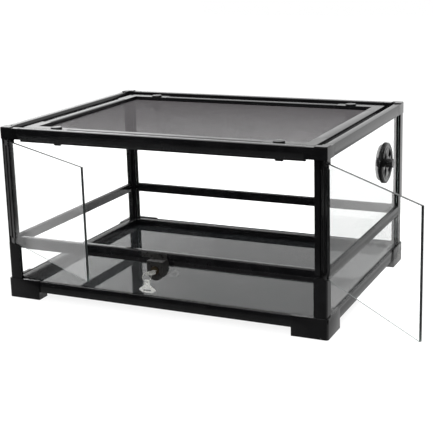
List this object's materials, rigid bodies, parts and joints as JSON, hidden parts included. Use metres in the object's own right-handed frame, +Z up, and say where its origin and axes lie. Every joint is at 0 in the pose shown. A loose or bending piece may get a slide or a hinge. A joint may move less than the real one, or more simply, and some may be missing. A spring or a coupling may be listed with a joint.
{
  "type": "terrarium",
  "caption": "Front-opening glass terrarium in a black frame, with two swinging doors, a lift-off screen lid, a sill lock with its key and a round side vent.",
  "frame": {"origin": "bottom centre of the bounding box with the doors as pictured, on the ground under the feet", "axes": "+X to the right across the cabinet, +Y from the doors to the rear, +Z up"},
  "size_m": [0.8024, 0.66, 0.3115],
  "materials": {
    "frame_black": "satin black extruded and moulded frame",
    "glass_clear": "clear float glass, ground edges",
    "glass_black": "polished glass with a black underside",
    "screen_black": "black coated woven wire",
    "lock_black": "black enamelled casting",
    "steel": "nickel plated"
  },
  "bodies": {
    "cabinet": {"front_left_foot": "frame_black", "front_right_foot": "frame_black", "rear_left_foot": "frame_black", "rear_right_foot": "frame_black", "front_left_post": "frame_black", "front_right_post": "frame_black", "rear_left_post": "frame_black", "rear_right_post": "frame_black", "front_left_top_corner": "frame_black", "front_right_top_corner": "frame_black", "rear_left_top_corner": "frame_black", "rear_right_top_corner": "frame_black", "front_base_rail": "frame_black", "right_base_rail": "frame_black", "rear_base_rail": "frame_black", "left_base_rail": "frame_black", "door_sill": "frame_black", "right_mid_rail": "frame_black", "rear_mid_rail": "frame_black", "left_mid_rail": "frame_black", "front_top_rail": "frame_black", "right_top_rail": "frame_black", "rear_top_rail": "frame_black", "left_top_rail": "frame_black", "floor_pane": "glass_black", "front_lower_pane": "glass_clear", "right_lower_pane": "glass_clear", "rear_lower_pane": "glass_clear", "left_lower_pane": "glass_clear", "right_upper_pane": "glass_clear", "rear_upper_pane": "glass_clear", "left_upper_pane": "glass_clear", "lock_housing": "lock_black", "vent_bush": "frame_black", "vent_nut": "frame_black"},
    "left_door": {"left_door_pane": "glass_clear", "left_door_lower_shoe": "frame_black", "left_door_upper_shoe": "frame_black"},
    "right_door": {"right_door_pane": "glass_clear", "right_door_lower_shoe": "frame_black", "right_door_upper_shoe": "frame_black"},
    "lid": {"lid_front_bar": "frame_black", "lid_right_bar": "frame_black", "lid_rear_bar": "frame_black", "lid_left_bar": "frame_black", "lid_front_left_corner": "frame_black", "lid_front_right_corner": "frame_black", "lid_rear_left_corner": "frame_black", "lid_rear_right_corner": "frame_black", "screen_mesh": "screen_black"},
    "front_left_catch": {"lid_front_left_catch": "frame_black"},
    "front_right_catch": {"lid_front_right_catch": "frame_black"},
    "rear_left_catch": {"lid_rear_left_catch": "frame_black"},
    "rear_right_catch": {"lid_rear_right_catch": "frame_black"},
    "cylinder": {"lock_cylinder": "steel"},
    "bolt": {"lock_bolt": "lock_black"},
    "key": {"lock_key": "steel"},
    "ring": {"key_ring": "steel"},
    "tag": {"key_tag": "steel"},
    "dial": {"vent_dial": "frame_black"}
  },
  "joints": [
    {"name": "left_door_hinge", "type": "hinge", "parent": "cabinet", "child": "left_door", "pos_m": [-0.39222, -0.11999, 0.19675], "axis": [0, 0, -1], "range_deg": [-30.8, 114.2]},
    {"name": "right_door_hinge", "type": "hinge", "parent": "cabinet", "child": "right_door", "pos_m": [0.19478, -0.11999, 0.19675], "axis": [0, 0, 1], "range_deg": [-134.5, 10.5]},
    {"name": "lid_lift", "type": "slide", "parent": "cabinet", "child": "lid", "axis": [0, 0, 1], "range_m": [0, 0.12]},
    {"name": "lock_turn", "type": "hinge", "parent": "cabinet", "child": "cylinder", "pos_m": [-0.09172, -0.1425, 0.089], "axis": [0, -1, 0], "range_deg": [0, 90]},
    {"name": "bolt_lift", "type": "slide", "parent": "cabinet", "child": "bolt", "axis": [0, 0, 1], "range_m": [0, 0.0078]},
    {"name": "key_slide", "type": "slide", "parent": "cylinder", "child": "key", "axis": [0, -1, 0], "range_m": [0, 0.02]},
    {"name": "key_ring_swing", "type": "hinge", "parent": "key", "child": "ring", "pos_m": [-0.09653, -0.16229, 0.0909], "axis": [-0.7071, -0.7071, 0], "range_deg": [-20, 20]},
    {"name": "key_tag_swing", "type": "hinge", "parent": "ring", "child": "tag", "pos_m": [-0.09653, -0.16229, 0.0759], "axis": [-0.7071, -0.7071, 0], "range_deg": [-25, 25]},
    {"name": "front_left_catch_turn", "type": "hinge", "parent": "lid", "child": "front_left_catch", "pos_m": [-0.30672, -0.08449, 0.3068], "axis": [0, 0, 1], "range_deg": [0, 90]},
    {"name": "front_right_catch_turn", "type": "hinge", "parent": "lid", "child": "front_right_catch", "pos_m": [0.10928, -0.08449, 0.3068], "axis": [0, 0, 1], "range_deg": [0, 90]},
    {"name": "rear_left_catch_turn", "type": "hinge", "parent": "lid", "child": "rear_left_catch", "pos_m": [-0.30672, 0.28951, 0.3068], "axis": [0, 0, 1], "range_deg": [0, 90]},
    {"name": "rear_right_catch_turn", "type": "hinge", "parent": "lid", "child": "rear_right_catch", "pos_m": [0.10928, 0.28951, 0.3068], "axis": [0, 0, 1], "range_deg": [0, 90]},
    {"name": "vent_turn", "type": "hinge", "parent": "cabinet", "child": "dial", "pos_m": [0.19988, 0.22001, 0.215], "axis": [1, 0, 0], "range_deg": [0, 45]}
  ],
  "couplings": [
    {"joint": "bolt_lift", "follows": "lock_turn", "m_per_rad": 0.004952}
  ]
}
